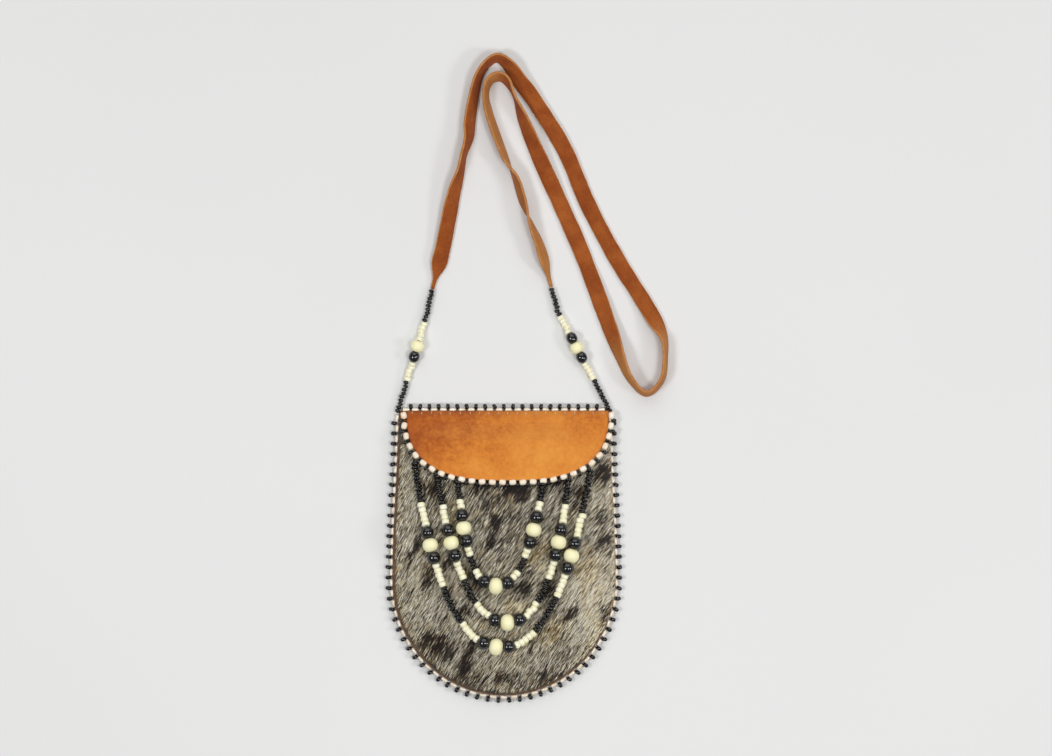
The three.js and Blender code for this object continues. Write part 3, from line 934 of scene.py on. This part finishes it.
pouch_trim = Gather()
side_line = edge_line(round_rows(TOP - EDGE_CORNER, OUTLINE_ROWS), half_width, 0)
edging(pouch_trim, side_line, SIDE_REPEAT, POUCH_TRIM, pouch_trim_height)
top_reach = TOP_WIDTH / 2 - EDGE_CORNER
top_line = np.array([(top_reach, TOP - TOP_TRIM_DROP), (-top_reach, TOP - TOP_TRIM_DROP)])
edging(pouch_trim, top_line, TOP_REPEAT, POUCH_TRIM, pouch_trim_height)
pouch_trim.object("pouch_edge_beads", EDGE_LOOKS, "pouch", "edge_beads", ["side_edging", "top_edging"])

flap_edge_rows = flap_rows(TOP - FLAP_TRIM_DROP, FLAP_TRIM_ROWS, FLAP_DEPTH)
flap_edge = edge_line(flap_edge_rows, flap_half_width, FLAP_SHIFT)
flap_beads = edging(flap_trim, flap_edge, FLAP_REPEAT, FLAP_TRIM, flap_trim_height)
for hanger in hangers:
    nearest = flap_beads[np.argmin(np.linalg.norm(flap_beads - hanger, axis=1))]
    tube(flap_trim, [nearest, hanger], THREAD, BEAD_SLOTS["thread"])
flap_trim.object("flap_edge_beads", EDGE_LOOKS, "flap", "edge_beads", ["flap_edging"])

# Soft waves for uneven surfaces and for the coat's markings
WAVE_COUNT = 40
RIPPLE_WAVES = 10
WAVES = rng.normal(0, 1, (WAVE_COUNT, 2))
PHASES = rng.uniform(0, 2 * math.pi, WAVE_COUNT)


def ripple(x, y, height, size, first):
    """Waves of a height and a size, made of some of the waves from the first on."""
    total = 0
    for k in range(first, first + RIPPLE_WAVES):
        total = total + np.sin((WAVES[k, 0] * x + WAVES[k, 1] * y) * 2 / size + PHASES[k])
    return height * total / math.sqrt(RIPPLE_WAVES)


# Back panel and flap
EDGE_ROUND = 0.7
EDGE_FALL = 0.35
UNDER_LIFT = 0.02
BACK_COLUMNS = 40
SHEET_WIDTH = FLAP_WIDTH + 0.4
SHEET_DEPTH = FLAP_DEPTH + 0.7
SHEET_LIFT = 0.05
SHEET_ROWS = 44
SHEET_COLUMNS = 64
FLAP_WAVES = (0.14, 26, 0)
CALM_EDGE = 6
CALM_MOUTH = 8


def worn_edge(distance):
    """How far a cut edge falls away, rounded by wear."""
    inside = np.clip(distance / EDGE_ROUND, 0, 1)
    return EDGE_FALL * (1 - np.sqrt(1 - (1 - inside) ** 2))


def sheet_half_width(y):
    return flap_outline(y, SHEET_WIDTH, SHEET_DEPTH)


def sheet_edge_distance(x, y):
    across = sheet_half_width(y) - np.abs(x - FLAP_SHIFT)
    share = np.clip(1 - (np.abs(x - FLAP_SHIFT) / (SHEET_WIDTH / 2)) ** FLAP_FULLNESS, 0, 1)
    down = y - (TOP - SHEET_DEPTH * share ** (1 / FLAP_FULLNESS))
    return np.maximum(np.minimum(across, down), 0)


def flap_top(x, y):
    """The flap's upper side, uneven where it lies on the fur and calm towards its edge and the mouth."""
    inside = sheet_edge_distance(x, y)
    calm = np.clip(inside / CALM_EDGE, 0, 1) * np.clip((MOUTH - y) / CALM_MOUTH, 0, 1)
    return flap_under(x, y) + FLAP_THICKNESS + ripple(x, y, *FLAP_WAVES) * calm - worn_edge(inside)


back = Gather()
panel(
    back, round_rows(TOP, OUTLINE_ROWS), half_width, 0, BACK_COLUMNS,
    lambda x, y: BACK_THICKNESS - worn_edge(np.minimum(seam_distance(x, y), TOP - y)),
    lambda x, y: 0 * x + UNDER_LIFT, (0, 0, 0),
)
back.object("back_hide", [back_look], "pouch", "back_hide", ["back_panel"])

flap_sheet = Gather()
panel(
    flap_sheet, flap_rows(TOP, SHEET_ROWS, SHEET_DEPTH), sheet_half_width, FLAP_SHIFT, SHEET_COLUMNS,
    flap_top, lambda x, y: flap_under(x, y) + SHEET_LIFT, (0, 1, 1),
)
flap_sheet.object("flap_suede", [flap_look, back_look], "flap", "flap_suede", ["flap"])

# Short stitches across the flap's seam
STITCHES_EACH_WAY = 10
STITCH_REACH = (0.35, 1.45)
STITCH_POINTS = 6
STITCH_DROP = (0, 0.2)
STITCH_SHIFT = 0.2
STITCH_SLANT = 0.1
STITCH_LIFT = 0.1
stitches = Gather()
for number in range(-STITCHES_EACH_WAY, STITCHES_EACH_WAY + 1):
    rows = TOP - np.linspace(*STITCH_REACH, STITCH_POINTS) - rng.uniform(*STITCH_DROP)
    across = FLAP_SHIFT + number * TOP_REPEAT + rng.normal(0, STITCH_SHIFT)
    across = across + rng.normal(0, STITCH_SLANT) * np.linspace(0, 1, STITCH_POINTS)
    height = flap_top(across, rows) + STITCH_LIFT
    tube(stitches, np.column_stack([across, rows, height]), TRIM_THREAD, 0)
stitches.object("flap_stitches", [thread_look], "flap", "edge_beads")

# Front panel: the skin, with its hair in pieces of its own
PILE = 0.5
WORN_PILE = 0.12
PILE_RISE = 7
MOUTH_PILE = 1
CUT_EDGE = 0.75
SEAM_SINK = 0.25
SEAM_SINK_REACH = 6
FRONT_ROWS = 60
FRONT_COLUMNS = 90
TAB_HEIGHT = 9
TAB_GAP = 0.45
TAB_REACH = (8, 2.5)
TAB_OVERLAP = 0.4
TAB_ROWS = 12
TAB_COLUMNS = 8


def pile(x, y):
    """The depth of the hair, which is worn down towards the seam and the mouth."""
    inside = np.minimum(seam_distance(x, y), MOUTH - y + MOUTH_PILE)
    return mix(WORN_PILE, PILE, eased(inside, PILE_RISE))


def tab_reach(y):
    """How far the front's corners reach inwards, where they rise past the mouth towards the top seam."""
    return mix(*TAB_REACH, eased(y - MOUTH, TAB_HEIGHT))


def skin_top(x, y):
    on_tab = np.minimum(front_top(x, MOUTH), flap_under(x, y)) - TAB_GAP
    return np.where(y <= MOUTH, front_top(x, y) - pile(x, y), on_tab)


front = Gather()
skin_slots = (SKIN, SKIN_INNER, SKIN_EDGE)
panel(
    front, round_rows(MOUTH, FRONT_ROWS), half_width, 0, FRONT_COLUMNS, skin_top,
    lambda x, y: front_under(x, y) - SEAM_SINK * (1 - eased(seam_distance(x, y), SEAM_SINK_REACH)),
    skin_slots, lambda x, y: seam_distance(x, y) < CUT_EDGE,
)
tab_rows = np.linspace(MOUTH + TAB_HEIGHT, MOUTH - TAB_OVERLAP, TAB_ROWS)
for sign in (-1, 1):
    tab_middle = sign * (half_width(tab_rows) - tab_reach(tab_rows) / 2)
    panel(
        front, tab_rows, lambda y: tab_reach(y) / 2, tab_middle[:, None], TAB_COLUMNS, skin_top,
        lambda x, y: 0 * x + BACK_THICKNESS + UNDER_LIFT, skin_slots,
    )
front.object("sealskin_hide", skin_looks, "pouch", "sealskin", ["front_panel"])

# The coat's markings
# Dark spots: middle, half-width, half-length along the hair, and how dark
SPOTS = [
    (4, 30, 7, 5, 1), (-13, 31, 5, 4, 0.8), (25, 34, 5, 4, 0.9), (-37, 29.5, 3, 5, 0.9),
    (48.5, 38, 4.5, 5, 1), (-6.6, 11, 2.5, 4.5, 0.9), (-9, 2.7, 3.2, 3.4, 0.9), (-11, 22, 3, 3, 0.6),
    (-45.6, 1, 2.2, 7, 0.85), (-29, -7, 2, 4, 0.8), (-39.5, -15, 2.2, 5, 0.85), (-16, -15, 4, 4, 0.9),
    (8.7, -19.5, 3.2, 5, 0.8), (21.7, -20.6, 2.5, 3.5, 0.9), (32.8, -31.8, 3.2, 3.6, 0.85),
    (50, -31, 3, 5, 0.8), (46, 14, 3, 3.5, 0.7), (49, 5, 4, 4.4, 0.8), (-21, -32, 3, 3, 0.8),
    (-40, -45.5, 3, 4, 0.9), (-34, -48.6, 3.5, 5, 0.95), (-30, -52.4, 3.5, 4, 0.9),
    (-18, -48.6, 2.4, 6, 0.9), (-20.4, -59, 3.6, 6, 1), (-2, -64, 3.5, 3, 0.7),
    (-13.5, -65.4, 3, 2.5, 0.7), (20, -64.6, 3.5, 2.5, 0.6), (31, -63, 3.5, 2, 0.6),
    (35, 27, 3, 5, 0.85), (-29, -22, 2, 2.5, 0.7), (12, 44, 8, 5, 0.7), (-30, 45, 6, 5, 0.6),
]
SPOT_ANGLE = math.radians(66)
SPOT_WAVES = (0.26, 4, 20)
SPOT_FADE = (0.6, 1.5)
# Warm patches: middle, half-width, half-height and how warm
WARM = [
    (44, -30, 9, 20, 0.5), (22, -42, 12, 9, 0.5), (4, -30, 9, 6, 0.5), (-26, 18, 6, 8, 0.5),
    (16, -4, 10, 10, 0.5), (38, -8, 8, 12, 0.5),
]
WARM_FADE = (0.2, 1.2)
WARM_BASE = 0.2
WARM_WAVES = (0.1, 14, 30)
WARM_EDGE = 0.35
WARM_EDGE_REACH = 5
# Pale and dark patches: middle, half-width, half-height and how pale; the two dark ones, in the middle
# and along the flap's lower edge, are partly the coat's darker middle and partly painted shadow of the
# flap
PALE_PATCHES_AND_PAINTED_SHADOW = [
    (42, -28, 16, 26, 0.35), (48, 26, 7, 14, 0.08), (-48, 10, 6, 30, 0.12), (-42, -32, 9, 14, 0.04),
    (10, -57, 22, 8, 0.04), (22, -12, 9, 8, 0.06), (-4, 14, 17, 20, -0.19), (0, 32, 40, 7, -0.1),
]
PALE_FADE = (0.3, 1.2)
PALE_WAVES = [(0.05, 7, 0), (0.04, 22, 15)]
# The angle that the hair lies at in degrees, how it fans out across the pelt, and how it wanders
HAIR_ANGLE = 57
HAIR_FAN = 0.09
HAIR_WAVES = (3, 38, 10)


def lie(x, y):
    """The angle that the hair lies at, towards the upper right."""
    return np.radians(HAIR_ANGLE - HAIR_FAN * x + ripple(x, y, *HAIR_WAVES))


def darkness(x, y):
    rough = 1 + ripple(x, y, *SPOT_WAVES)
    dark = np.zeros_like(x)
    for cx, cy, wide, long, depth in SPOTS:
        along = (x - cx) * math.cos(SPOT_ANGLE) + (y - cy) * math.sin(SPOT_ANGLE)
        across = (x - cx) * math.sin(SPOT_ANGLE) - (y - cy) * math.cos(SPOT_ANGLE)
        reach = np.hypot(across / wide, along / long) * rough
        dark = np.maximum(dark, depth * (1 - smoothstep(reach, *SPOT_FADE)))
    return dark


def patches(x, y, ovals, fade):
    """The sum of soft oval patches, each strongest at its middle."""
    total = 0
    for cx, cy, wide, long, strength in ovals:
        reach = np.hypot((x - cx) / wide, (y - cy) / long)
        total = total + strength * (1 - smoothstep(reach, *fade))
    return total


def warmth(x, y):
    near_edge = 1 - smoothstep(seam_distance(x, y), 0, WARM_EDGE_REACH)
    even = WARM_BASE + ripple(x, y, *WARM_WAVES) + WARM_EDGE * near_edge
    return even + patches(x, y, WARM, WARM_FADE)


# Pale patches, and dark ones below the flap that are partly painted shadow
def lightness_and_painted_shadow(x, y):
    return sum(ripple(x, y, *waves) for waves in PALE_WAVES) + patches(x, y, PALE_PATCHES_AND_PAINTED_SHADOW, PALE_FADE)


# Hair: thin blades in narrow locks, each with one plain shade
COOL = ["#1c1513", "#3a312c", "#5f574b", "#867d6b", "#aba28c", "#c9c1ab", "#e0d9c6", "#f3eee0"]
YELLOW = ["#20140c", "#422b18", "#6b4e2d", "#957746", "#b99d69", "#d5bf8c", "#e8d8aa", "#f5ebcb"]
HAIR_GLOSS = 0.35
HAIR_PIECES = 3
LOCKS = 12200
HAIRS_IN_LOCK = 4
# Locks: they lean, rise through a share of the pile, and close towards the tip
LOCK_TURN = 0.04
LOCK_LENGTH = (3.8, 6.2)
LOCK_RISE = (0.25, 0.95)
LOCK_SPREAD = (-0.5, 0.5)
LOCK_WIDTH = 0.06
LOCK_CLOSING = 0.4
# Hairs: how they differ from their lock, and the shape of a blade
HAIR_TURN = 0.03
HAIR_SHARE = (0.8, 1.1)
SEAM_SHARE = 0.4
SEAM_SHARE_REACH = 8
HAIR_WIDTH = (0.1, 0.17)
HAIR_RISE = 0.03
RISE_LIMITS = (0.2, 0.98)
ROOT_DEPTH = 0.03
WIDEST = 0.6
RIDGE = 0.08
BLADE_POINTS = 4
BLADE_FACES = np.array([[0, 3, 1], [0, 2, 3], [0, 1, 2], [1, 3, 2]])
# Where hair grows
HAIR_MARGIN = 0.55
OVERHANG = 0.9
MOUTH_SLACK = 0.3
TAB_MARGIN = 0.3
TAB_BARE = 1
# Tone and warmth, and how both vary
COAT_TONE = 0.55
LOCK_TONES = 0.4
HAIR_TONES = 0.06
LOCK_WARMTH = 0.2
SPOT_STRAY = (-1.6, 2)
SPOT_SHADE = 0.45
SPOT_SHARE = 0.96
SPOT_TONES = (0.03, 0.18)


hair_looks = [
    Look(f"hair_{kind}_{number}", code, 0.5, Specular_IOR_Level=HAIR_GLOSS).material
    for kind, codes in (("cool", COOL), ("warm", YELLOW))
    for number, code in enumerate(codes)
]


def hair_grows(x, y, slack):
    """Where the hair grows: on the front, and on its corners past the mouth."""
    on_tab = np.abs(x) > half_width(y) - tab_reach(y) + TAB_MARGIN
    return (y < MOUTH + slack) | (on_tab & (y < MOUTH + TAB_HEIGHT - TAB_BARE))


def hair_roots():
    """The middles of the locks' roots, strewn over the front."""
    x = rng.uniform(-FULL_WIDTH / 2, FULL_WIDTH / 2, 2 * LOCKS)
    y = rng.uniform(BOTTOM, MOUTH + TAB_HEIGHT, 2 * LOCKS)
    keep = (seam_distance(x, y) > HAIR_MARGIN) & hair_grows(x, y, -MOUTH_SLACK)
    keep = np.flatnonzero(keep)[:LOCKS]
    return x[keep], y[keep]


def hair_locks():
    """Root, tip and angle of each hair, and its lock's tone, warmth and rise."""
    x, y = hair_roots()
    count = len(x)
    angle = lie(x, y) + rng.normal(0, LOCK_TURN, count)
    stray = rng.uniform(*SPOT_STRAY, count)
    dark = darkness(x + stray * np.cos(angle), y + stray * np.sin(angle))
    tone = COAT_TONE + lightness_and_painted_shadow(x, y) + rng.normal(0, LOCK_TONES, count)
    tone = tone * (1 - SPOT_SHADE * dark)
    in_spot = rng.uniform(0, 1, count) < SPOT_SHARE * dark
    tone = np.where(in_spot, SPOT_TONES[0] + SPOT_TONES[1] * tone, tone)
    warm = warmth(x, y) + rng.normal(0, LOCK_WARMTH, count)
    long = rng.uniform(*LOCK_LENGTH, count)
    rise = rng.uniform(*LOCK_RISE, count)
    locks = (x, y, angle, tone, warm, long, rise)
    x, y, angle, tone, warm, long, rise = (np.repeat(each, HAIRS_IN_LOCK) for each in locks)
    count = len(x)
    ahead = rng.uniform(*LOCK_SPREAD, count)
    aside = rng.normal(0, LOCK_WIDTH, count)
    root_x = x + ahead * np.cos(angle) - aside * np.sin(angle)
    root_y = y + ahead * np.sin(angle) + aside * np.cos(angle)
    shortened = mix(SEAM_SHARE, 1, eased(seam_distance(root_x, root_y), SEAM_SHARE_REACH))
    long = long * rng.uniform(*HAIR_SHARE, count) * shortened
    bent = angle + rng.normal(0, HAIR_TURN, count) - LOCK_CLOSING * aside / long
    tip_x = root_x + long * np.cos(bent)
    tip_y = root_y + long * np.sin(bent)
    inside = (seam_distance(root_x, root_y) > HAIR_MARGIN) & (seam_distance(tip_x, tip_y) > -OVERHANG)
    inside &= hair_grows(root_x, root_y, -MOUTH_SLACK) & hair_grows(tip_x, tip_y, MOUTH_SLACK)
    return [each[inside] for each in (root_x, root_y, tip_x, tip_y, bent, tone, warm, rise)]


def make_hair(number):
    x, y, tip_x, tip_y, angle, tone, warm, rise = hair_locks()
    count = len(x)
    wide = rng.uniform(*HAIR_WIDTH, count) / 2
    rise = np.clip(rise + rng.normal(0, HAIR_RISE, count), *RISE_LIMITS)
    root = np.stack([x, y, skin_top(x, y) - ROOT_DEPTH], -1)
    tip = np.stack([tip_x, tip_y, skin_top(tip_x, tip_y) + pile(tip_x, tip_y) * rise], -1)
    side = np.stack([-np.sin(angle) * wide, np.cos(angle) * wide, 0 * wide], -1)
    middle = mix(root, tip, WIDEST)
    middle[:, 2] -= RIDGE * pile(x, y)
    points = np.stack([root, middle + side, middle - side, tip], 1)
    corners = (np.arange(count)[:, None, None] * BLADE_POINTS + BLADE_FACES).reshape(-1)
    tone = tone + rng.normal(0, HAIR_TONES, count)
    shades = len(COOL)
    shade = np.clip((tone * shades).astype(int), 0, shades - 1)
    shade = shade + shades * (rng.uniform(0, 1, count) < warm)
    face_slots = np.repeat(shade, len(BLADE_FACES)).astype(np.int32)
    mesh = bpy.data.meshes.new(f"sealskin_hair_{number}")
    mesh.vertices.add(BLADE_POINTS * count)
    mesh.vertices.foreach_set("co", (points.reshape(-1) * MM).astype(np.float32))
    mesh.loops.add(len(corners))
    mesh.loops.foreach_set("vertex_index", corners.astype(np.int32))
    mesh.polygons.add(len(face_slots))
    mesh.polygons.foreach_set("loop_start", np.arange(0, len(corners), 3, dtype=np.int32))
    add_piece(mesh, hair_looks, face_slots, False, "pouch")


for piece in range(HAIR_PIECES):
    make_hair(piece + 1)

# Floor, lights and world, in metres and watts
FLOOR_REACH = 4.0
FLOOR_DROP = 0.0002
floor_mesh = bpy.data.meshes.new("floor")
floor_corners = [(x * FLOOR_REACH, y * FLOOR_REACH, 0) for x, y in ((-1, -1), (1, -1), (1, 1), (-1, 1))]
floor_mesh.from_pydata(floor_corners, [], [(0, 1, 2, 3)])
floor_look = Look("floor", "#e9e9e8", 0.85)
floor_look.color(floor_look.ramp(floor_look.noise(scale=1.5), [(0.3, "#e6e6e5"), (0.7, "#ebebea")]))
floor_mesh.materials.append(floor_look.material)
floor = add_object("floor", floor_mesh)
floor.location.z = -FLOOR_DROP

# Place, size and power of each light
LIGHTS = {
    "key_0": ((-0.75, -0.14, 1.1), (0.3, 0.3), 5.6),
    "key_1": ((0.42, -0.14, 1.1), (0.3, 0.3), 4.0),
    "key_2": ((1.4, -0.2, 0.95), (0.3, 0.3), 5.3),
    "soft_top": ((0.0, 1.4, 1.1), (2.2, 1.5), 13),
}
LIGHT_AIM = Vector((0.005, 0.03, 0))
WORLD_COLOR = (0.86, 0.87, 0.88, 1)
WORLD_STRENGTH = 0.21
for light_name, (spot, size, power) in LIGHTS.items():
    lamp = bpy.data.lights.new(light_name, "AREA")
    lamp.shape = "RECTANGLE"
    lamp.size, lamp.size_y = size
    lamp.energy = power
    light = add_object(light_name, lamp)
    light.location = spot
    light.visible_camera = False
    light.rotation_euler = (LIGHT_AIM - Vector(spot)).to_track_quat("-Z", "Y").to_euler()

world = bpy.data.worlds.new("studio")
world.use_nodes = True
background = world.node_tree.nodes["Background"]
background.inputs["Color"].default_value = WORLD_COLOR
background.inputs["Strength"].default_value = WORLD_STRENGTH
bpy.context.scene.world = world
bpy.context.scene.view_settings.view_transform = "Standard"
